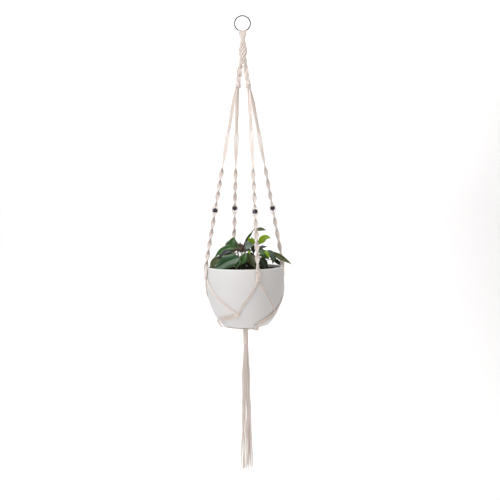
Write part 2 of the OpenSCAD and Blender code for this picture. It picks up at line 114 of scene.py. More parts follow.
# base, middle, tip, width, the way the upper side faces, look
LEAVES = (
    ((-14, -34, -668), (-44, -44, -679), (-84, -50, -699), 44, (-.1, -.8, .6), "sheen"),
    ((-18, -32, -669), (-21, -46, -682), (-23, -52, -700), 22, (.05, -.95, .3), "green"),
    ((-26, -28, -673), (-49, -40, -688), (-72, -46, -703), 32, (-.1, -.85, .5), "sheen"),
    ((-58, -20, -672), (-78, -30, -678), (-94, -38, -699), 27, (-.3, -.7, .5), "olive"),
    ((-20, -6, -647), (-52, -16, -646), (-83, -24, -670), 20, (-.15, -.8, .55), "green"),
    ((-24, -2, -653), (-33, 0, -634), (-28, 4, -614), 32, (-.1, -.97, .2), "green"),
    ((-29, 8, -635), (-43, 12, -631), (-55, 14, -639), 13, (0, -.9, .4), "grey"),
    ((-18, -8, -645), (-35, -14, -647), (-52, -18, -653), 10, (0, -.7, .7), "olive"),
    ((-30, -12, -651), (-51, -24, -654), (-67, -30, -669), 14, (-.3, -.8, .4), "purple"),
    ((-35, -14, -652), (-49, -28, -666), (-64, -36, -685), 13, (-.3, -.85, .4), "grey"),
    ((3, -26, -658), (-4, -40, -674), (-12, -46, -692), 20, (.15, -.95, .2), "green"),
    ((10, -12, -661), (18, -22, -678), (28, -30, -695), 24, (-.1, -.95, .2), "olive"),
    ((14, 0, -655), (14, -8, -674), (15, -14, -703), 30, (0, -1, .2), "dark"),
    ((-5, -10, -666), (-7, -16, -684), (-7, -20, -704), 30, (0, -1, .2), "dark"),
    ((41, -16, -670), (48, -22, -685), (58, -28, -703), 24, (.1, -.9, .4), "dark"),
    ((48, -8, -671), (55, -12, -686), (63, -16, -700), 15, (.1, -.9, .4), "dark"),
    ((0, 4, -632), (12, 2, -613), (25, 0, -597), 9, (.6, -.75, .2), "green"),
    ((29, 2, -597), (43, -2, -594), (60, -6, -597), 12, (0, -.85, .5), "olive"),
    ((19, -4, -631), (14, -8, -624), (9, -10, -615), 11, (0, -.95, .3), "bright"),
    ((23, -2, -635), (21, -6, -625), (19, -8, -614), 11, (0, -.95, .3), "bright"),
    ((26, -4, -635), (24, -6, -628), (27, -6, -619), 9, (0, -.95, .3), "bright"),
    ((41, 0, -635), (54, -4, -618), (72, -8, -619), 19, (.1, -.95, .25), "bright"),
    ((41, 6, -636), (38, 4, -631), (34, 2, -624), 8, (0, -.9, .3), "dark"),
    ((38, 4, -644), (50, 0, -643), (62, -4, -642), 10, (0, -.8, .6), "purple"),
    ((-5, -6, -640), (8, -14, -638), (26, -18, -637), 22, (.1, -.95, .3), "pale_sheen"),
    ((1, -8, -647), (8, -14, -649), (19, -18, -652), 12, (0, -.8, .6), "grey"),
    ((22, 0, -635), (23, -4, -647), (25, -8, -662), 13, (0, -1, .2), "dark"),
    ((12, -20, -651), (13, -22, -656), (14, -24, -661), 8, (0, -1, .2), "bright"),
    ((-14, -4, -642), (-7, -10, -648), (5, -14, -656), 13, (0, -.8, .6), "olive"),
    ((37, -14, -656), (51, -20, -658), (66, -27, -676), 18, (.1, -.8, .6), "green"),
    ((54, -22, -652), (61, -27, -660), (66, -30, -673), 10, (.2, -.85, .5), "bright"),
    ((39, -10, -662), (51, -16, -667), (64, -20, -676), 11, (0, -.8, .6), "olive"),
    ((62, -16, -651), (75, -24, -667), (75, -32, -688), 20, (.3, -.85, .45), "grey"),
    ((69, -8, -656), (99, -14, -672), (128, -20, -690), 18, (.25, -.75, .6), "olive"),
    ((79, -10, -676), (88, -14, -683), (98, -18, -693), 14, (.1, -.8, .6), "dark"),
    ((-5, 20, -659), (-20, 34, -643), (-35, 44, -653), 26, (-.2, -.6, .7), "dark"),
    ((21, 20, -652), (44, 36, -653), (59, 46, -671), 26, (.2, -.6, .7), "dark"),
    ((2, 30, -675), (-9, 48, -687), (-19, 58, -705), 30, (-.1, -.8, .5), "dark"),
    ((21, 26, -675), (29, 44, -687), (38, 54, -705), 30, (.1, -.8, .5), "dark"),
    ((-30, 14, -668), (-58, 30, -662), (-80, 40, -690), 28, (-.2, -.5, .8), "green"),
    ((48, 10, -668), (74, 26, -668), (90, 34, -692), 24, (.2, -.5, .8), "green"))
BUDS = (
    ((-7, -12, -647), (-18, -12, -634)), ((-5, -12, -646), (-12, -10, -632)),
    ((-4, -12, -646), (-1, -10, -632)), ((-9, -14, -651), (-24, -16, -659)),
    ((-8, -14, -649), (-21, -16, -648)), ((-7, -14, -651), (-12, -18, -657)),
    ((-5, -14, -649), (1, -16, -655)))

# ---------- vectors and paths ----------


def unit(v):
    v = np.asarray(v, float)
    return v / np.maximum(np.linalg.norm(v, axis=-1, keepdims=True), 1e-9)


def polar(r, azimuth, z):
    """Place at an azimuth in degrees, which is 0 at the front and 90 at the right."""
    a = np.radians(azimuth)
    return np.stack(np.broadcast_arrays(r * np.sin(a), -r * np.cos(a), np.asarray(z, float)), -1)


def ramp(x, a, b):
    """Smooth 0 to 1 as x goes from a to b."""
    t = np.clip((np.asarray(x, float) - a) / (b - a), 0, 1)
    return t * t * (3 - 2 * t)


def arc(path):
    """Length along a path up to each of its points."""
    return np.concatenate([[0], np.cumsum(np.linalg.norm(np.diff(path[:, :3], axis=0), axis=1))])


def spline(points, parts=10):
    """Smooth curve through rows of numbers, of which the first three are a place."""
    p = np.asarray(points, float)
    q = np.vstack([2 * p[0] - p[1], p, 2 * p[-1] - p[-2]])
    t = (np.arange(parts) / parts)[:, None]
    out = []
    for a, b, c, d in zip(q, q[1:], q[2:], q[3:]):
        out.append(.5 * (2 * b + (c - a) * t + (2 * a - 5 * b + 4 * c - d) * t ** 2
                         + (3 * b - a - 3 * c + d) * t ** 3))
    return np.vstack(out + [p[-1:]])


def even(points, step):
    """The same line at even stations."""
    p = np.asarray(points, float)
    s = arc(p)
    n = max(2, int(round(s[-1] / step)) + 1)
    at = np.linspace(0, s[-1], n)
    return np.stack([np.interp(at, s, p[:, k]) for k in range(p.shape[1])], 1)


def wobble(n, size, scale):
    """Slow random drift along n stations, with one bend about every scale stations."""
    knots = max(3, int(n / scale) + 2)
    return np.interp(np.linspace(0, knots - 1, n), np.arange(knots), RNG.normal(0, size, knots))


def signed_power(x, power):
    """Power of the size of x, with the sign of x."""
    return math.copysign(abs(x) ** power, x)


# ---------- meshes ----------

PLY_SIDES, PLY_PITCH, PLY_DEPTH = 12, 9.5, .17


def grid_quads(rows, cols):
    """Faces round a tube of points, and the row and column that each face starts at."""
    i, j = np.meshgrid(np.arange(rows - 1), np.arange(cols), indexing="ij")
    i, j = i.ravel(), j.ravel()
    jn = (j + 1) % cols
    return np.stack([i * cols + j, i * cols + jn, (i + 1) * cols + jn, (i + 1) * cols + j], 1), i, j


def face_uv(i, j, cols, down):
    """UV of the corners of a tube's faces, from a value for each of its rows."""
    u = np.stack([j, j + 1, j + 1, j], 1) / cols
    v = np.stack([down[i], down[i], down[i + 1], down[i + 1]], 1)
    return np.stack([u, v], 2).reshape(-1, 2)


class Piece:
    """Twisted cords gathered for one object."""

    def __init__(self):
        self.tubes, self.along, self.groove_shade = [], [], []

    def add(self, path, d=CORD_D, squeeze=None, thin=None, plain=False, step=1.1):
        """Sweep a cord along path. squeeze has its thickness along a vector, and then the vector, and thin
        its thickness all round, as shares of d. A plain one has no plies. Returns its middle line."""
        n0 = len(path)
        rows = even(np.hstack([path, np.ones((n0, 4)) if squeeze is None else squeeze,
                               np.ones((n0, 1)) if thin is None else thin[:, None]]), step)
        p, flat, side, slim = rows[:, :3], rows[:, 3], rows[:, 4:7], rows[:, 7]
        n = len(p)
        # a frame carried along the cord without twisting
        t = unit(np.gradient(p, axis=0))
        u = np.empty_like(p)
        u[0] = unit(np.cross(t[0], [.3, .8, .52] if abs(t[0][1]) < .7 else [1, 0, 0]))
        for i in range(1, n):
            w = u[i - 1] - (u[i - 1] @ t[i]) * t[i]
            u[i] = w / np.linalg.norm(w)
        v = np.cross(t, u)
        s = arc(p)
        # three plies that wind round the middle line
        k = 2 * np.pi * np.arange(PLY_SIDES) / PLY_SIDES
        dip = np.zeros(PLY_SIDES) if plain else 1 - np.abs(np.cos(1.5 * k)) ** .8
        lobe = 1 - PLY_DEPTH * dip
        turn = k[None] + (2 * np.pi * s / PLY_PITCH + RNG.uniform(0, 6.3))[:, None]
        size = d / 2 * slim * (1 + wobble(n, .025, 7))
        off = np.cos(turn)[..., None] * u[:, None] + np.sin(turn)[..., None] * v[:, None]
        off = off * (size[:, None] * lobe)[..., None]
        if squeeze is not None:
            a = unit(side - (side * t).sum(1, keepdims=True) * t)
            b = np.cross(t, a)
            f = np.clip(flat, .3, 1.5)
            oa, ob = (off * a[:, None]).sum(2), (off * b[:, None]).sum(2)
            off = oa[..., None] * a[:, None] * f[:, None, None]
            off = off + ob[..., None] * b[:, None] * (f ** -.6)[:, None, None]
        self.tubes.append(p[:, None] + off)
        self.along.append(s / 10)
        # how much painted shade each point takes, most in the grooves between the plies
        self.groove_shade.append(np.tile(dip, n))
        return p

    def make(self, name):
        """One object of all the cords added so far."""
        obj = join_tubes(name, self.tubes, "cord", self.along)
        set_values(obj, "groove_shade", np.concatenate(self.groove_shade))
        return obj


def set_values(obj, name, values):
    """Attribute that a material reads, with one value for each point."""
    layer = obj.data.attributes.new(name, "FLOAT", "POINT")
    layer.data.foreach_set("value", values.ravel().astype(np.float32))


def join_tubes(name, tubes, look, along=None):
    """One object of closed tubes, each a grid of points. along gives a UV value for each row of each."""
    quads, caps, uv, count = [], [], [], 0
    for k, tube in enumerate(tubes):
        rows, cols = tube.shape[:2]
        faces, i, j = grid_quads(rows, cols)
        quads.append(count + faces)
        caps += [count + np.arange(cols)[::-1], count + (rows - 1) * cols + np.arange(cols)]
        if along:
            uv.append(face_uv(i, j, cols, along[k]))
        count += rows * cols
    quads, ends = np.vstack(quads), np.concatenate(caps)
    sizes = np.concatenate([np.full(len(quads), 4), [len(c) for c in caps]])
    uv = np.vstack(uv + [np.zeros((len(ends), 2))]) if along else None
    verts = np.vstack([tube.reshape(-1, 3) for tube in tubes])
    mesh = raw_mesh(name, verts, np.concatenate([quads.ravel(), ends]), sizes, uv)
    return new_object(name, mesh, look)


def raw_mesh(name, verts, loops, sizes, uv=None, smooth=True):
    """Mesh of points in millimetres and of faces with the given corners and numbers of corners."""
    mesh = bpy.data.meshes.new(name)
    mesh.vertices.add(len(verts))
    mesh.vertices.foreach_set("co", (verts * .001).astype(np.float32).ravel())
    mesh.loops.add(len(loops))
    mesh.loops.foreach_set("vertex_index", loops.astype(np.int32))
    mesh.polygons.add(len(sizes))
    mesh.polygons.foreach_set("loop_start", np.concatenate([[0], np.cumsum(sizes)[:-1]]).astype(np.int32))
    mesh.polygons.foreach_set("use_smooth", np.full(len(sizes), smooth))
    if uv is not None:
        mesh.uv_layers.new(name="UVMap").data.foreach_set("uv", uv.astype(np.float32).ravel())
    mesh.update(calc_edges=True)
    mesh.validate()
    return mesh


def linked(name, data):
    obj = bpy.data.objects.new(name, data)
    SCENE.collection.objects.link(obj)
    return obj


def new_object(name, mesh, look):
    mesh.materials.append(MAT[look])
    obj = linked(name, mesh)
    return obj


def settle(obj, body, *cad):
    """Put a piece on its body, in place of the plain solids of that name."""
    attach(obj, body)
    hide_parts(*cad)


def skin(name, points, look):
    """Object with a smooth skin over a grid of points (rows, columns round, 3)."""
    rows, cols = points.shape[:2]
    quads, i, j = grid_quads(rows, cols)
    uv = face_uv(i, j, cols, np.arange(rows) / (rows - 1))
    mesh = raw_mesh(name, points.reshape(-1, 3), quads.ravel(), np.full(len(quads), 4), uv)
    return new_object(name, mesh, look)


def turned(outline, sides):
    """Grid of points of a solid turned about the vertical axis, from (radius, height) pairs."""
    a = np.linspace(0, 2 * np.pi, sides, endpoint=False)
    o = np.asarray(outline, float)
    return np.stack([o[:, 0, None] * np.cos(a), o[:, 0, None] * np.sin(a),
                     np.broadcast_to(o[:, 1, None], (len(o), sides))], 2)


# ---------- materials ----------

MAT = {}


def material(name, colour, rough, **more):
    """New material kept under its name in MAT. more sets other inputs of its shader."""
    m = bpy.data.materials.new(name)
    m.use_nodes = True
    b = m.node_tree.nodes["Principled BSDF"]
    b.inputs["Base Color"].default_value = (*colour, 1)
    b.inputs["Roughness"].default_value = rough
    for key, value in more.items():
        b.inputs[key.replace("_", " ")].default_value = value
    MAT[name] = m
    return m.node_tree, b


def node(tree, kind, **inputs):
    """New node with the given values on its inputs."""
    n = tree.nodes.new("ShaderNode" + kind)
    for key, value in inputs.items():
        n.inputs[key.replace("_", " ")].default_value = value
    return n


def mix(tree, factor, a, b, blend="MIX"):
    """Mix of two colours, each a socket or a value."""
    n = node(tree, "Mix")
    n.data_type, n.blend_type = "RGBA", blend
    for key, value in ((0, factor), (6, a), (7, b)):
        if hasattr(value, "links"):
            tree.links.new(value, n.inputs[key])
        else:
            n.inputs[key].default_value = value if key == 0 else (*value, 1)
    return n.outputs[2]


def ramp_node(tree, source, stops):
    r = node(tree, "ValToRGB")
    marks = r.color_ramp.elements
    for mark, (at, colour) in zip(marks, (stops[0], stops[-1])):
        mark.position, mark.color = at, (*colour, 1)
    for at, colour in stops[1:-1]:
        marks.new(at).color = (*colour, 1)
    tree.links.new(source, r.inputs[0])
    return r.outputs[0]


def add_bump(tree, b, height, strength, distance):
    bump = node(tree, "Bump", Strength=strength, Distance=distance)
    tree.links.new(height, bump.inputs["Height"])
    tree.links.new(bump.outputs[0], b.inputs["Normal"])


def noise(tree, scale, detail, rough=.5):
    """Noise in the piece's own space."""
    place = node(tree, "TexCoord")
    texture = node(tree, "TexNoise", Scale=scale, Detail=detail, Roughness=rough)
    tree.links.new(place.outputs["Object"], texture.inputs["Vector"])
    return texture.outputs["Fac"]


def attribute(tree, name):
    n = node(tree, "Attribute")
    n.attribute_name = name
    return n.outputs["Fac"]


def make_cord_material():
    tree, b = material("cord", (.86, .81, .76), .9, Sheen_Weight=.45, Sheen_Roughness=.5,
                       Specular_IOR_Level=.2)
    uv = node(tree, "UVMap")
    stretch = node(tree, "Mapping", Scale=(26, 3.2, 1))
    tree.links.new(uv.outputs[0], stretch.inputs[0])
    fibre = node(tree, "TexNoise", Scale=1.0, Detail=4.0, Roughness=.65)
    tree.links.new(stretch.outputs[0], fibre.inputs["Vector"])
    drift = noise(tree, 55, 2)
    body = ramp_node(tree, fibre.outputs["Fac"], ((.3, (.84, .775, .72)), (.7, (.95, .91, .865))))
    tint = mix(tree, drift, (1.0, .975, .955), (.95, .96, .975))
    body = mix(tree, 1.0, body, tint, "MULTIPLY")
    # painted shade: the grooves between the plies are darkened towards a warm brown
    shade = node(tree, "Math")
    shade.operation = "MULTIPLY"
    shade.inputs[1].default_value = .85
    tree.links.new(attribute(tree, "groove_shade"), shade.inputs[0])
    body = mix(tree, shade.outputs[0], body, (.66, .51, .44))
    tree.links.new(body, b.inputs["Base Color"])
    add_bump(tree, b, fibre.outputs["Fac"], .5, .0004)


def make_mottled_material(name, colour, rough, grain, stops=None, bump=None, **more):
    """Material whose colour runs through the stops, and whose surface is rough, as a noise varies."""
    tree, b = material(name, colour, rough, **more)
    height = noise(tree, *grain)
    if stops:
        tree.links.new(ramp_node(tree, height, stops), b.inputs["Base Color"])
    if bump:
        add_bump(tree, b, height, *bump)


def make_plain_materials():
    material("steel", (.11, .11, .115), .28, Metallic=1.0)
    material("floor", (.9, .9, .9), .9)
    make_mottled_material("bead", (.012, .008, .022), .12, (260, 3),
                          ((.35, (.008, .005, .014)), (.75, (.03, .018, .05))),
                          Specular_IOR_Level=.4, Coat_Weight=.4, Coat_Roughness=.05)
    make_mottled_material("pot", (.64, .63, .625), .5, (900, 3),
                          bump=(.05, .0002), Specular_IOR_Level=.35)
    make_mottled_material("soil", (.03, .022, .018), 1.0, (420, 6, .75),
                          ((.3, (.005, .004, .004)), (.55, (.020, .014, .012)), (.8, (.07, .05, .036))),
                          (.9, .002), Specular_IOR_Level=0.0)
    make_mottled_material("stem", (.10, .10, .03), .6, (160, 3),
                          ((.3, (.045, .06, .02)), (.7, (.16, .13, .05))))
    make_mottled_material("bud", (.12, .015, .035), .45, (300, 2),
                          ((.3, (.035, .004, .012)), (.7, (.13, .014, .035))))


# Colours of the blade, the ribs and the edge, and roughness
LEAF_LOOKS = {
    "green": ((.020, .070, .012), (.06, .15, .03), (.05, .07, .012), .40),
    "grey": ((.036, .058, .040), (.08, .12, .08), (.05, .07, .04), .45),
    "olive": ((.030, .042, .005), (.09, .12, .02), (.08, .075, .012), .45),
    "purple": ((.020, .017, .027), (.05, .04, .06), (.03, .05, .02), .38),
    "sheen": ((.013, .050, .018), (.06, .13, .05), (.04, .06, .014), .27),
    # a grey-green blade, lightened further as painted sheen on a leaf that faces the front
    "pale_sheen": ((.10, .14, .11), (.15, .19, .16), (.09, .12, .09), .42),
    # near-black green: painted shade, for leaves that sit in shadow among the others
    "dark": ((.006, .015, .004), (.02, .04, .012), (.015, .024, .008), .45),
    "bright": ((.15, .27, .002), (.26, .37, .012), (.19, .27, .006), .5)}


def make_leaf_material(look):
    blade, rib, edge, rough = LEAF_LOOKS[look]
    tree, b = material("leaf_" + look, blade, rough, Specular_IOR_Level=.32,
                       Subsurface_Weight=.15 if look == "bright" else .04, Subsurface_Scale=.002)
    patch = noise(tree, 70, 4)
    dim, lit = tuple(.72 * c for c in blade), tuple(1.3 * c for c in blade)
    body = ramp_node(tree, patch, ((.3, dim), (.7, lit)))
    body = mix(tree, attribute(tree, "edge"), body, edge)
    body = mix(tree, attribute(tree, "rib"), body, rib)
    tree.links.new(body, b.inputs["Base Color"])
    add_bump(tree, b, noise(tree, 900, 3), .12, .0004)


make_cord_material()
make_plain_materials()
for look in LEAF_LOOKS:
    make_leaf_material(look)

# ---------- ring, loops, top sinnet and braids ----------

# Half width and half thickness of the top sinnet, by drop
SINNET = np.array([(46, 9.6, 4.6), (52, 8.4, 4.6), (58, 6.6, 4.8), (64, 5.4, 5.0), (70, 6.0, 4.8),
                   (80, 8.0, 4.6), (92, 10.8, 5.4), (102, 10.8, 5.6), (113, 6.9, 5.4), (122, 9.2, 5.0),
                   (135, 9.6, 4.4)])


def make_ring():
    turns, sides = 160, 24
    a = np.linspace(0, 2 * np.pi, turns, endpoint=False)
    b = np.linspace(0, 2 * np.pi, sides, endpoint=False)
    r = RING_R + WIRE_D / 2 * np.cos(b)[None]
    pts = np.stack([r * np.cos(a)[:, None], np.broadcast_to(WIRE_D / 2 * np.sin(b)[None], (turns, sides)),
                    RING_Z + r * np.sin(a)[:, None]], 2)
    settle(skin("ring_wire", np.vstack([pts, pts[:1]]), "steel"), "ring", "ring")


def crown_strand(i, front):
    """Half of cord i: from the ring down through the neck into the round plait, as far as the fork."""
    x0, y0 = (i - 3.5) * LOOP_PITCH, -3.9 if front else 3.9
    slot = 8 + i if front else 7 - i
    travel = 1 if slot % 2 else -1
    spacing, turning = 22.5, 3.5     # degrees from strand to strand, and degrees of travel for each mm down
    drops = np.arange(46, 136, 1.0)
    phase = np.radians(spacing * (slot + .5)) + travel * np.radians(turning) * np.maximum(drops - 60, 0)
    over = travel * np.cos(8 * phase) * ramp(drops, 62, 76)
    w = np.interp(drops, SINNET[:, 0], SINNET[:, 1]) + over
    t = np.interp(drops, SINNET[:, 0], SINNET[:, 2]) + over
    x, y = w * np.cos(phase), t * np.sin(phase)
    x = x0 + (x - x0) * ramp(drops, 44, 60)
    y = y0 + (y - y0) * ramp(drops, 44, 60)
    return np.stack([x, y, -drops], 1)


def braid_paths(side):
    """Eight cords in three groups that plait over each other, from the fork down into the end knot."""
    groups = ((3, 0.0), (3, 1 / 3), (2, 2 / 3))     # cords, and share of the way through the plait
    period, width, depth, pitch = 66.0, 4.6, 2.7, 2.7
    drops = np.arange(0, 59, 1.5)
    shrink = ramp(drops, 44, 56)
    out = []
    for count, share in groups:
        a = 2 * np.pi * (drops / period + share) * side + (0.4 if side > 0 else 0.0)
        middle = side * (6.0 + 8.2 * drops / 50)
        x, y = width * np.sin(a), depth * np.sin(2 * a)
        slope = np.gradient(x + middle, drops)
        run = unit(np.stack([slope, np.zeros_like(slope), -np.ones_like(slope)], 1))
        across = np.stack([-run[:, 2], np.zeros_like(slope), run[:, 0]], 1)
        line = np.stack([middle + x * (1 - .45 * shrink), y * (1 - .3 * shrink), FORK_Z - drops], 1)
        for j in range(count):
            off = (j - (count - 1) / 2) * pitch * (1 - .35 * shrink)
            out.append(line + off[:, None] * across)
    return out


def make_crown():
    """The eight cords from one braid's end up over the ring and down to a braid's end again."""
    piece = Piece()
    halves = {(i, front): crown_strand(i, front) for i in range(8) for front in (True, False)}
    by_x = sorted(halves, key=lambda key: halves[key][-1][0])
    for side, chosen in ((-1, by_x[:8]), (1, by_x[8:])):
        tails = sorted(braid_paths(side), key=lambda path: path[0][0])
        for key, tail in zip(chosen, tails):
            body = halves[key]
            join = spline([body[-10], body[-4], tail[4], tail[7]], 12)[12:25]
            halves[key] = np.vstack([body[:-4], join[:-1], tail[4:]])
    for i in range(8):
        x0 = (i - 3.5) * LOOP_PITCH
        top = RING_Z - math.sqrt(RING_R ** 2 - x0 ** 2)
        a = np.radians(np.arange(0, 181, 15))
        wide = 3.85 + .36 * (top - RING_Z + RING_R)   # room to tilt about the ring's lowest point
        loop = np.stack([np.full_like(a, x0), -wide * np.cos(a), top + 3.65 * np.sin(a)], 1)
        neck = (top - 45) / 2
        line = np.vstack([halves[i, True][::-1], [[x0, -wide, neck]], loop, [[x0, wide, neck]],
                          halves[i, False]])
        path = spline(line, 4)
        piece.add(path, d=2.95, thin=1 + .33 * ramp(-path[:, 2], 62, 74) * ramp(path[:, 2], -136, -124))
    obj = piece.make("crown_cords")
    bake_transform(obj)
    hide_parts("ring_loops", "loop_neck", "top_sinnet", "braid_left", "braid_right")


def coil(radius, z_top, z_bottom, pitch, x=0.0):
    """Cord wound round a vertical bundle, both ends tucked in."""
    a = np.radians(np.arange(0, 360 * (z_top - z_bottom) / pitch + 1, 12))
    n = len(a)
    z = np.linspace(z_top, z_bottom, n)
    r = radius(z) if callable(radius) else radius
    tuck = np.minimum(ramp(np.arange(n), -4, 5), ramp(-np.arange(n), -n - 3, -n + 6))
    r = r * (.55 + .45 * tuck)
    return np.stack([x + r * np.cos(a), r * np.sin(a), z], 1)


def make_braid_knot(side, name):
    """Turns of a wrap, with a strand that crosses in front of them."""
    piece = Piece()
    c = side * BRAID_X
    piece.add(coil(6.9, -186.8, -199.6, 3.1, c), d=3.1)
    piece.add(spline([(c + side * x, y, z) for x, y, z in (
        (-5, 2, -201), (-6.9, -3, -197.5), (-3, -7.8, -194.6), (3, -8, -190.4), (6.4, -3.5, -186.4),
        (4, 2, -184))]), d=2.9)
    settle(piece.make(f"braid_knot_wrap_{name}"), "hanger", f"braid_knot_{name}")


# ---------- arms ----------


def arm_frame(n):
    """Ends of an arm's middle line, its length, and the turn from a hanging line to it."""
    side = -1 if n <= 2 else 1
    top = np.array([side * BRAID_X, 0, BRAID_Z]) + polar(5, ARM_AZIMUTH[n], 0)
    foot = polar(ARM_REACH, ARM_AZIMUTH[n], ARM_Z)
    length = np.linalg.norm(foot - top)
    run = (foot - top) / length
    axis = np.cross([0, 0, -1], run)
    s, c = np.linalg.norm(axis), -run[2]
    k = axis / s
    skew = np.array([[0, -k[2], k[1]], [k[2], 0, -k[0]], [-k[1], k[0], 0]])
    turn = np.eye(3) + s * skew + (1 - c) * skew @ skew
    return top, foot, length, turn


def band_angle(n, s, length):
    """Turn of the sinnet's flat side along an arm, in degrees."""
    up, down, at = WAISTS_ABOVE[n], WAISTS_BELOW[n], BEAD_AT[n]
    stations = [up[0] - 4] + list(up[1:]) + [at - 6]
    angles = [90 + 540 + 20, 90 + 360, 90 + 180, 90, 0]
    low_s = [at + 6] + list(down) + [length + OVER_RIM]
    low_a = [0] + [-90 - 180 * i for i in range(len(down))] + [FOOT_ANGLE[n] - 180]
    return np.where(s < at, np.interp(s, stations, angles), np.interp(s, low_s, low_a))


def arm_strand(n, kind, side):
    """Local path of one of an arm's four cords: x, y, -s, squeeze and the direction of squeeze."""
    length = arm_frame(n)[2]
    at = BEAD_AT[n]
    rows = []

    def put(s, x, y, thin=1.0, way=(0, 1), turn=0.0):
        """One station, with its place and its direction turned about the arm."""
        c, w = math.cos(turn), math.sin(turn)
        rows.append((x * c - y * w, x * w + y * c, -s, thin,
                     way[0] * c - way[1] * w, way[0] * w + way[1] * c, 0))

    def turn_in(s):
        """The flat group of four turns edge-on on its way down to the spiral."""
        return math.radians(-70) * float(ramp(s, 140, SPIRAL_START))

    def facing(s):
        return math.radians(float(band_angle(n, s, length)))

    def spiral(start, end, side):
        """Working cord of a half-knot spiral: round the core once in two half knots."""
        total = round((end - start) / HALF_KNOT)
        for u in np.arange(0, total + .01, .125):
            c, w = math.cos(math.pi * u), math.sin(math.pi * u)
            hold = .45 * math.sin(2 * math.pi * u) / (2 * math.pi)
            s = start + (end - start) / total * (u + hold)
            x, y = side * signed_power(c, .8) * BAND_X, -side * signed_power(w, .85) * BAND_Y
            way = unit((x * .22, y)) if abs(y) > .2 else (0.0, 1.0)
            put(s, x, y, .68 + .2 * c * c, way, facing(s))
        return side * (-1) ** total

    bow = RNG.uniform(-.5, .5)
    if kind == "core":
        for s, x, y in ((-7, 1.4, 1.2), (0, 1.5, 1.3), (14, 1.3, .9 + bow), (44, 1.25, .3 + bow),
                        (70, 1.3, bow * .5), (86, CORE_X, 0)):
            put(s, side * x, y)
        for s in np.arange(SQUARE_START, SQUARE_END + 1, 4):
            put(s, side * CORE_X, 0, .85)
        for s, x in ((138, 1.6), (165, 1.65), (190, 1.6), (215, 1.5)):
            a = turn_in(s)
            put(s, side * x * math.cos(a), side * x * math.sin(a))
        for s in np.arange(SPIRAL_START, length + OVER_RIM + .1, 3.0):
            put(s, side * CORE_X, 0, .84 if abs(s - at) > 9 else .9, turn=facing(s))
        return np.array(rows)
    for s, x, y in ((-7, 1.4, -1.2), (0, 1.6, -1.2), (14, 3.0, -.6), (44, 3.9, bow), (70, 4.1, bow),
                    (84, 4.6, 0)):
        put(s, side * x, y)
    # square knots: one working cord always crosses in front, the other behind
    half_knots = 12
    pitch = (SQUARE_END - SQUARE_START) / half_knots
    front = side < 0
    for u in np.arange(0, half_knots + .01, .125):
        c, w = math.cos(math.pi * u), abs(math.sin(math.pi * u))
        hold = (.55 if front else .8) * math.sin(2 * math.pi * u) / (2 * math.pi)
        y = -(2.3 * w ** .8 - .7) if front else 2.3 * w ** .8 - 1.5
        x = side * signed_power(c, .75) * (3.4 if front else 4.1)
        put(SQUARE_START + pitch * (u + hold), x, y, .72 + .2 * abs(c), (.7 * c * side, 1 if front else -1))
    for s, x in ((137, 5.3), (150, 5.4), (170, 5.2), (190, 4.9), (215, 4.6)):
        a = turn_in(s)
        put(s, side * x * math.cos(a), side * x * math.sin(a) + bow * .4)
    high, low = float(WAISTS_ABOVE[n][3]), float(WAISTS_BELOW[n][0])
    out = spiral(SPIRAL_START, high, side)
    for s, r, a in ((high + .4 * (at - high), 4.6, 34), (high + .72 * (at - high), 7.0, 6), (at - 3, 7.55, 0),
                    (at, 7.65, 0), (at + 3, 7.55, 0), (low - .72 * (low - at), 7.0, -6),
                    (low - .4 * (low - at), 4.8, -34)):
        put(s, out * r * math.cos(math.radians(a)), out * r * math.sin(math.radians(a)))
    spiral(low, length + OVER_RIM, out)
    return np.array(rows)


def pot_side(count):
    """Radius and height of places up the pot's side, from its foot to its rim."""
    t = np.linspace(0, 1, count)[:, None]
    c = SIDE_CURVE
    return (1 - t) ** 3 * c[0] + 3 * (1 - t) ** 2 * t * c[1] + 3 * (1 - t) * t * t * c[2] + t ** 3 * c[3]


POT_SIDE = pot_side(80)


def pot_r(h):
    return np.interp(h, POT_SIDE[:, 1], POT_SIDE[:, 0])


def on_pot(azimuth, h, out):
    """Point at height h above the pot's foot, moved out from its side."""
    slope = pot_r(np.asarray(h, float) + 2) - pot_r(np.asarray(h, float) - 2)
    size = np.sqrt(16 + slope ** 2)
    return polar(pot_r(h) + out * 4 / size, azimuth, FOOT_Z + h - out * slope / size)


def pot_normal(azimuth, h):
    return unit(on_pot(azimuth, h, 1.0) - on_pot(azimuth, h, 0.0))


def make_arm(n):
    top, foot, length, turn = arm_frame(n)
    az = ARM_AZIMUTH[n]
    out, along = polar(1, az, 0), polar(1, az + 90, 0)
    lines = []
    for kind in ("core", "work"):
        for side in (-1, 1):
            rows = arm_strand(n, kind, side)
            # drawn in towards the braid's knot at the top, and towards the pot's rim at the bottom
            pull = 3.2 * ramp(rows[:, 2], -34, -7) + 1.2 * ramp(length + rows[:, 2], 60, 0)
            world = rows[:, :3] @ turn.T + top - out * pull[:, None]
            lines.append(np.hstack([world, rows[:, 3:4], rows[:, 4:7] @ turn.T]))
    # the four cords come side by side at the split knot
    piece = Piece()
    lines.sort(key=lambda line: float((line[-1, :3] - foot) @ along))
    for rank, line in enumerate(lines):
        tail = [[*(on_pot(az, h, lift) + along * (rank - 1.5) * gap), thin, *out]
                for h, lift, gap, thin in ((SPLIT_H + 8, 5.6, 1.7, .95), (SPLIT_H, 5.4, 1.3, 1))]
        rows = spline(np.vstack([line, tail]), 4)
        piece.add(rows[:, :3], squeeze=rows[:, 3:])
    parts = ("upper_cords", "square_knots", "middle_cords", "upper_spiral", "bead_cords", "lower_spiral",
             "rim_cords")
    settle(piece.make(f"arm_cords_{n}"), "hanger", *(f"{part}_{n}" for part in parts))


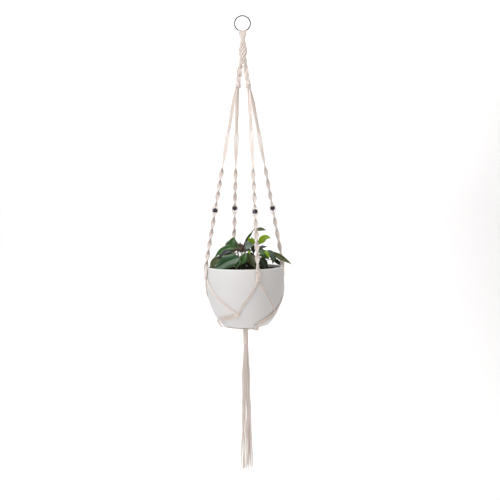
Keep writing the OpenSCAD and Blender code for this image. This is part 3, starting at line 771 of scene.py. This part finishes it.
def make_bead(n):
    """Barrel bead with a rounded hole through it."""
    top, foot, length, turn = arm_frame(n)
    half, r, round_r, bore = 5.75, 6.1, 6.84, 2.9
    outline = [(bore, -half + .5), (bore + .35, -half + .1), (bore + .9, -half)]
    outline += [(min(r, math.sqrt(round_r ** 2 - z * z)), z) for z in np.linspace(-half, half, 25)]
    outline += [(bore + .9, half), (bore + .35, half - .1), (bore, half - .5), (bore, 0), outline[0]]
    place = top + (foot - top) / length * BEAD_AT[n]
    points = turned(np.array(outline) * [1, -1], 48) @ turn.T + place
    settle(skin(f"bead_gloss_{n}", points, "bead"), f"bead_{n}", f"bead_{n}")


# ---------- pot and net ----------


def make_pot():
    outer = [(.01, 0), (40, 0), (55, 0)] + [(r, h) for r, h in pot_side(60) if h < POT_H - 2.2]
    a = np.radians(np.arange(0, 91, 15))
    out_r, in_r, top = RIM_R + .1 - LIP_R, RIM_R + .1 - POT_WALL + LIP_R, POT_H - LIP_R
    lip = [(out_r + LIP_R * math.cos(q), top + LIP_R * math.sin(q)) for q in a]
    lip += [(in_r - LIP_R * math.sin(q), top + LIP_R * math.cos(q)) for q in a]
    inner = [(pot_r(h) - POT_WALL, h) for h in np.linspace(POT_H - 3, 8, 40)] + [(50, 6.2), (.01, 6)]
    points = turned(np.array(outer + lip + inner) + [0, FOOT_Z], 160)
    settle(skin("pot_body", points, "pot"), "pot", "pot")


OCTAHEDRON = np.array([[1, 0, 0], [-1, 0, 0], [0, 1, 0], [0, -1, 0], [0, 0, 1], [0, 0, -1]])
OCTAHEDRON_FACES = np.array([(0, 2, 4), (2, 1, 4), (1, 3, 4), (3, 0, 4),
                             (2, 0, 5), (1, 2, 5), (3, 1, 5), (0, 3, 5)])


def make_soil():
    """Uneven top with loose crumbs lying on it."""
    rings, cols, depth = 70, 180, 60
    level = RIM_Z - SOIL_GAP
    r_in = float(pot_r(POT_H - SOIL_GAP)) - POT_WALL - .15
    r = np.linspace(.01, 1, rings) ** .8 * r_in
    a = np.linspace(0, 2 * np.pi, cols, endpoint=False)
    x, y = r[:, None] * np.cos(a), r[:, None] * np.sin(a)
    z = np.zeros_like(x)
    for scale, size in ((14, .9), (6, .7), (2.6, .55)):
        for _ in range(4):
            q, s = RNG.uniform(0, 6.3), RNG.uniform(.7, 1.3) / scale * 2
            z += size * .6 * np.sin(x * s * math.cos(q) + y * s * math.sin(q) + RNG.uniform(0, 6.3))
    z += RNG.normal(0, .25, z.shape)
    z = level - .6 + z * np.clip((r_in - r[:, None]) / 6, 0, 1)
    floor = np.full(cols, level - depth)
    side = np.stack([x[-1] * .985, y[-1] * .985, floor], 1)[None]
    middle = np.stack([x[0], y[0], floor], 1)[None]
    points = np.concatenate([np.stack([x, y, z], 2), side, middle])
    settle(skin("soil_fill", points, "soil"), "pot", "soil")
    crumbs = []
    for _ in range(420):
        far, q = r_in * .95 * math.sqrt(RNG.uniform()), RNG.uniform(0, 6.3)
        size = RNG.uniform(.7, 2.3)
        basis = np.linalg.qr(RNG.normal(size=(3, 3)))[0] * size
        basis = basis * np.array([1, RNG.uniform(.5, 1), RNG.uniform(.5, .9)])
        corners = OCTAHEDRON + RNG.normal(0, .18, (6, 3))
        crumbs.append(corners @ basis + np.array([far * math.cos(q), far * math.sin(q), level + size * .2]))
    faces = np.vstack([OCTAHEDRON_FACES + 6 * k for k in range(len(crumbs))])
    sizes = np.full(len(faces), 3)
    mesh = raw_mesh("soil_crumbs", np.vstack(crumbs), faces.ravel(), sizes, smooth=False)
    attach(new_object("soil_crumbs", mesh, "soil"), "pot")


def lay_group(piece, count, start, end, close=.75, out=1.75, slack=0.0):
    """Cords side by side on the pot between two (azimuth, height) places, closer together at both ends."""
    stations = 28
    t = np.linspace(0, 1, stations)
    az = start[0] + (end[0] - start[0]) * t ** 1.3
    h = start[1] + (end[1] - start[1]) * t
    centre, normal = on_pot(az, h, out), pot_normal(az, h)
    across = unit(np.cross(unit(np.gradient(centre, axis=0)), normal))
    for j in range(count):
        k = j - (count - 1) / 2
        gap = NET_PITCH * (1 - (1 - close) * (ramp(t, .14, 0) + ramp(t, .86, 1)))
        wave = wobble(stations, .22, 7) + slack * k * np.sin(np.pi * t)
        lift = .15 + np.abs(wobble(stations, .2, 8)) + 1.6 * (ramp(t, .08, 0) + ramp(t, .92, 1))
        piece.add(spline(centre + across * (k * gap + wave)[:, None] + normal * lift[:, None], 4), d=2.95)


def side_azimuth(n):
    return ARM_AZIMUTH[n] + SIDE_TURN[n]


def left_azimuth(n):
    a = side_azimuth(LEFT_ARM[n])
    return a - 360 if a > ARM_AZIMUTH[n] else a


def make_net():
    upper, lower, base = Piece(), Piece(), Piece()
    for n, az in ARM_AZIMUTH.items():
        base_az = az + BASE_TURN
        lay_group(upper, 2, (az, SPLIT_H - 2), (side_azimuth(n), SIDE_H + 2), slack=1.6)
        lay_group(upper, 2, (az, SPLIT_H - 2), (left_azimuth(n), SIDE_H + 2), slack=1.3)
        lay_group(lower, 4, (side_azimuth(n), SIDE_H - 1), (base_az, BASE_H[n] + 7), close=.6, slack=.7)
        # side by side under the foot, sagging down into the gathering wrap
        out, across = polar(1, base_az, 0), polar(1, base_az + 90, 0)
        edge = on_pot(base_az, BASE_H[n], 4.8) + polar(-6.5, base_az, -7)
        for j in range(4):
            k = j - 1.5
            end = polar(5.2 if j in (0, 3) else 2.2, base_az + k * 26, GATHER_Z - 8)
            pts = [edge + across * k * 1.8]
            for r, drop, gap in ((54, 3.8, 2.9), (48, 4.8, 3.1), (40, 6.3, 2.9), (27, 8.9, 2.4),
                                 (15, 11.3, 1.8)):
                pts.append(out * r + across * k * gap + [0, 0, FOOT_Z - drop])
            pts += [polar(6.6, base_az + k * 20, GATHER_Z + .5), end + [0, 0, 4], end]
            base.add(spline(pts), d=2.85)
    settle(upper.make("net_pairs"), "hanger", "net_cords")
    settle(lower.make("net_lower_cords"), "hanger", "lower_net_cords")
    obj = base.make("base_run_cords")
    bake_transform(obj)
    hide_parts("base_cords")


def knot_at(piece, azimuth, h, tilt=0.0, width=4.3, half_knots=2, out=4.6, hang=0.0):
    """Square knots of two working cords round two, on the pot's side. tilt turns them on the surface,
    hang turns them from along the surface towards straight down."""
    place = on_pot(azimuth, h, out)
    pitch = 4.1
    normal = pot_normal(azimuth, h)
    level = polar(1, azimuth + 90, 0)
    up = np.cross(level, -normal)
    up = up if up[2] > 0 else -up
    a = math.radians(tilt)
    across, down = level * math.cos(a) + up * math.sin(a), level * math.sin(a) - up * math.cos(a)
    down = unit(down * (1 - hang) + np.array([0, 0, -hang]))
    across = unit(across - down * (across @ down))
    facing = np.cross(across, down)
    normal = facing if facing @ normal > 0 else -facing

    def world(x, y, s):
        return place + across * x + normal * y + down * s

    for side in (-1, 1):
        reach = pitch * half_knots / 2 + 1.5
        piece.add(spline([world(side * 1.3, 0, s) for s in np.linspace(-reach, reach, 5)]), d=2.8)
        rows = []
        for u in np.arange(-.25, half_knots + .26, .125):
            c, w = math.cos(math.pi * u), abs(math.sin(math.pi * u))
            hold = .5 * math.sin(2 * math.pi * u) / (2 * math.pi)
            # one working cord crosses in front, the other behind and a little wider
            y, wide = (2.6 * w ** .8 - .6, width) if side < 0 else (1.4 - 2.2 * w ** .8, width + .5)
            rows.append(world(side * signed_power(c, .75) * wide, y, (u - half_knots / 2 + hold) * pitch))
        piece.add(spline(rows, 4), d=3.05)


def make_net_knots():
    for n, az in ARM_AZIMUTH.items():
        piece = Piece()
        knot_at(piece, az, SPLIT_H + 1, width=4.6, half_knots=4, out=5.6)
        settle(piece.make(f"split_knot_cords_{n}"), "hanger", f"split_knot_{n}")
    piece = Piece()
    for n in ARM_AZIMUTH:
        knot_at(piece, side_azimuth(n), SIDE_H, tilt=55)
    settle(piece.make("side_knot_cords"), "hanger", "side_knots")
    piece = Piece()
    for n, az in ARM_AZIMUTH.items():
        knot_at(piece, az + BASE_TURN, BASE_H[n], tilt=12, half_knots=4, out=5.4, hang=.25)
    settle(piece.make("base_knot_cords"), "hanger", "base_knots")


# ---------- gathering wrap and tassel ----------


def make_gathering():
    def radius(z):
        """The wrap is domed above the gathering's height."""
        dome = np.sqrt(np.maximum(WRAP_R ** 2 - np.maximum(z - GATHER_Z, 0) ** 2, 4.0))
        return dome - 1.05

    piece = Piece()
    piece.add(coil(radius, WRAP_TOP - .5, WRAP_BOTTOM + .8, 2.05), d=2.2, step=1.0)
    settle(piece.make("gathering_coil"), "gathering", "gathering_wrap")


def make_tassel():
    for k, stops in enumerate(TASSEL_ROUTES):
        start = np.array(stops[0], float)
        inner = start * min(1.0, 3.9 / max(math.hypot(*start), .1))
        rows = [(*inner, -897), (*inner, -905), (*(inner + start) / 2, -913)]
        levels = [*TASSEL_LEVELS[:-1], TASSEL_LEVELS[-1] - TASSEL_CUT[k]]
        rows += [(*stop, z) for stop, z in zip(stops[1:], levels)]
        line = even(spline(rows, 24), 1.0)
        n = len(line)
        sway = ramp(np.arange(n), 25, 90) * .9
        line[:, 0] += wobble(n, 1.0, 55) * sway
        line[:, 1] += wobble(n, 1.0, 55) * sway
        thin = np.interp(line[:, 2], [-934, -912, -900], [1.0, .86, .74])
        piece = Piece()
        p = piece.add(line, thin=thin)
        # the cut end opens into its plies
        end, way = p[-1], unit(p[-1] - p[-6])
        a0 = RNG.uniform(0, 6.3)
        for q in range(3):
            a = a0 + q * 2 * math.pi / 3
            out = np.array([math.cos(a), math.sin(a), 0])
            tip = RNG.uniform(1.4, 2.9)
            ply = [end - way * 4 + out * .5, end + out * .75, end + way * tip * .6 + out * 1.1,
                   end + way * tip + out * RNG.uniform(1.0, 1.4)]
            piece.add(spline(ply), d=1.35, plain=True, step=.7)
        obj = piece.make(f"tassel_strand_{k + 1:02d}")
        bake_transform(obj)
        if k == 0:
            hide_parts("tassel_strands")


# ---------- plant ----------


def make_leaf(k, base, middle, tip, width, face, look):
    """Blade bent through three places, with its upper side towards face. Returns it, its base and its way."""
    steps, cols, thickness, vein_pitch = 40, 19, .45, 6.5
    base, middle, tip = (np.array(v, float) for v in (base, middle, tip))
    bend = 2 * middle - (base + tip) / 2
    t = np.linspace(0, 1, steps + 1)[:, None]
    line = (1 - t) ** 2 * base + 2 * (1 - t) * t * bend + t * t * tip
    line = even(line, arc(line)[-1] / steps)
    t = np.linspace(0, 1, len(line))[:, None]
    along = unit(np.gradient(line, axis=0))
    across = unit(np.cross(along, unit(face)))
    normal = np.cross(across, along)
    q = np.linspace(-1, 1, cols)
    far = np.abs(q)
    half = np.maximum(.35, width / 2 * np.sin(np.pi * t ** .8) ** .85 * (1 - .45 * t ** 5))
    veins = max(4, int(arc(line)[-1] / vein_pitch))
    side_vein = np.abs(((t * veins - far * 1.25) % 1) - .5) * 2
    w1, w2, w3 = RNG.uniform(0, 6.3, 3)
    fold = .26 * far * half * (1 - .45 * q * q)
    quilt = (1 - side_vein ** 4) * .38 * (1 - far ** 3) * min(1, width / 16) * np.sin(np.pi * t)
    ripple = half * (.06 * q ** 4 * np.sin(8 * t + w1) + .04 * q ** 3 * np.sin(14 * t + w2)
                     + .05 * q * np.sin(3 * t + w3))
    rib_line = -.4 * np.exp(-(q * half / .8) ** 2)
    top = line[:, None] + half[..., None] * q[:, None] * across[:, None] \
        + (fold + quilt + ripple + rib_line)[..., None] * normal[:, None]
    below = top - thickness * vertex_normals(top)
    obj = skin(f"leaf_{k + 1:02d}", np.concatenate([top, below[:, ::-1]], axis=1), "leaf_" + look)
    rib = np.maximum(np.clip(1 - far * half / .8, 0, 1) * .9,
                     np.clip(side_vein, 0, 1) ** 10 * .5 * (far > .04))
    edge = np.broadcast_to(np.clip((far - .66) / .34, 0, 1) * .75, rib.shape)
    set_values(obj, "rib", np.hstack([rib, rib[:, ::-1]]))
    set_values(obj, "edge", np.hstack([edge, edge[:, ::-1]]))
    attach(obj, "pot")
    return obj, base, along[0]


def vertex_normals(grid):
    a, b = np.gradient(grid, axis=0), np.gradient(grid, axis=1)
    return unit(np.cross(b, a))


def plain_tube(pts, radii, sides=10):
    """Grid of points of a smooth tube whose radius runs through radii."""
    p = even(spline([(*place, r) for place, r in zip(pts, radii)], 8), 1.5)
    t = unit(np.gradient(p[:, :3], axis=0))
    u = unit(np.cross(t, [.2, 1, .1]))
    v = np.cross(t, u)
    a = np.linspace(0, 2 * np.pi, sides, endpoint=False)
    return p[:, None, :3] + p[:, 3, None, None] * (np.cos(a)[:, None] * u[:, None]
                                                   + np.sin(a)[:, None] * v[:, None])


def make_plant():
    made = [make_leaf(k, *spec) for k, spec in enumerate(LEAVES)]
    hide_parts("leaves_dark")
    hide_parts("leaves_bright")
    tubes = []
    places = []
    for a, b, d in STEMS:
        a, b = np.array(a, float), np.array(b, float)
        places += [a + (b - a) * f for f in np.linspace(.1, 1, 19)]
        bend = np.cross(unit(b - a), [0, 1, 0]) * np.linalg.norm(b - a) * .05
        tubes.append(plain_tube([a, (a + b) / 2 + bend, b], [d / 2 * 1.05, d / 2, d / 2 * .85]))
    # stalks: from the nearest stem to each leaf's base
    for _, base, way in made:
        root = min(places, key=lambda place: np.linalg.norm(base - place))
        gap = np.linalg.norm(base - root)
        if gap > .8:
            line = [root, (root + base) / 2 - way * gap * .1, base, base + way * 3]
            tubes.append(plain_tube(line, [.95, .8, .75, .4], 8))
    settle(join_tubes("plant_stems", tubes, "stem"), "pot", "stems")
    tubes = []
    for a, b in np.array(BUDS, float):
        tubes.append(plain_tube([a, (a + b) / 2 + [0, 0, 1.2], b], [1.25, 1.0, 1.1], 8))
        tubes.append(plain_tube([b, b + (b - a) * .12, b + (b - a) * .24], [1.2, 2.0, .7], 8))
    settle(join_tubes("bud_stalks", tubes, "bud"), "pot", "buds")


# ---------- stage, light and camera ----------

CAMERA_AT = (.016, -1.75, -.547)
CAMERA_TILT, CAMERA_ROLL = -.0307, -.0108   # radians, negative tilt looks up
CAMERA_SENSOR, CAMERA_LENS, CAMERA_SHIFT_Y = 36, 45.54, -.1142


def make_stage():
    """A floor that curves up into a wall behind the planter."""
    half_width, floor_z, wall_y, bend_r = 14, -1.75, 1.6, 1.2
    profile = [(-6, floor_z), (wall_y, floor_z)]
    profile += [(wall_y + bend_r * math.sin(q), floor_z + bend_r - bend_r * math.cos(q))
                for q in np.radians(np.arange(5, 91, 5))]
    profile.append((wall_y + bend_r, 6))
    verts = [(x, y, z) for y, z in profile for x in (-half_width, half_width)]
    faces = [(2 * i, 2 * i + 1, 2 * i + 3, 2 * i + 2) for i in range(len(profile) - 1)]
    mesh = bpy.data.meshes.new("backdrop")
    mesh.from_pydata(verts, [], faces)
    mesh.polygons.foreach_set("use_smooth", [True] * len(faces))
    mesh.materials.append(MAT["floor"])
    linked("backdrop", mesh)


def area_light(name, at, target, size, power, colour=(1, 1, 1)):
    data = bpy.data.lights.new(name, "AREA")
    data.shape, data.size, data.energy, data.color = "SQUARE", size, power, colour
    obj = linked(name, data)
    obj.location = at
    obj.rotation_euler = (Vector(target) - Vector(at)).to_track_quat("-Z", "Y").to_euler()


def make_light():
    world = bpy.data.worlds.new("studio")
    world.use_nodes = True
    tree = world.node_tree
    back = tree.nodes["Background"]
    way = node(tree, "TexCoord")
    split = node(tree, "SeparateXYZ")
    tree.links.new(way.outputs["Generated"], split.inputs[0])
    # the room is dark behind the viewpoint and bright towards the backdrop
    room = ramp_node(tree, split.outputs["Y"],
                     ((0.0, (.16, .15, .145)), (.35, (.34, .335, .335)), (.75, (.55, .55, .56))))
    tree.links.new(room, back.inputs[0])
    back.inputs[1].default_value = 1.0
    SCENE.world = world
    area_light("key", (-1.9, -1.9, .9), (0, 0, -.6), 1.6, 70, (.98, .985, 1))
    area_light("fill", (1.0, -3.0, -.6), (0, 0, -.7), 2.0, 24, (1, .95, .92))
    area_light("wall", (0, .6, 2.2), (0, 2.8, -.7), 3.0, 135)


def make_camera():
    data = bpy.data.cameras.new("view")
    data.sensor_width, data.lens, data.shift_y = CAMERA_SENSOR, CAMERA_LENS, CAMERA_SHIFT_Y
    data.clip_start, data.clip_end = .05, 60
    cam = linked("view", data)
    cam.location = CAMERA_AT
    ct, st = math.cos(CAMERA_TILT), math.sin(CAMERA_TILT)
    forward, up, right = Vector((0, ct, -st)), Vector((0, st, ct)), Vector((1, 0, 0))
    cr, sr = math.cos(CAMERA_ROLL), math.sin(CAMERA_ROLL)
    x, y = cr * right + sr * up, -sr * right + cr * up
    cam.rotation_euler = Matrix((x, y, -forward)).transposed().to_euler()
    SCENE.camera = cam


make_ring()
make_crown()
make_braid_knot(-1, "left")
make_braid_knot(1, "right")
for number in ARM_AZIMUTH:
    make_arm(number)
    make_bead(number)
make_pot()
make_soil()
make_net()
make_net_knots()
make_gathering()
make_tassel()
make_plant()
make_stage()
make_light()
make_camera()
SCENE.view_settings.view_transform = "Standard"
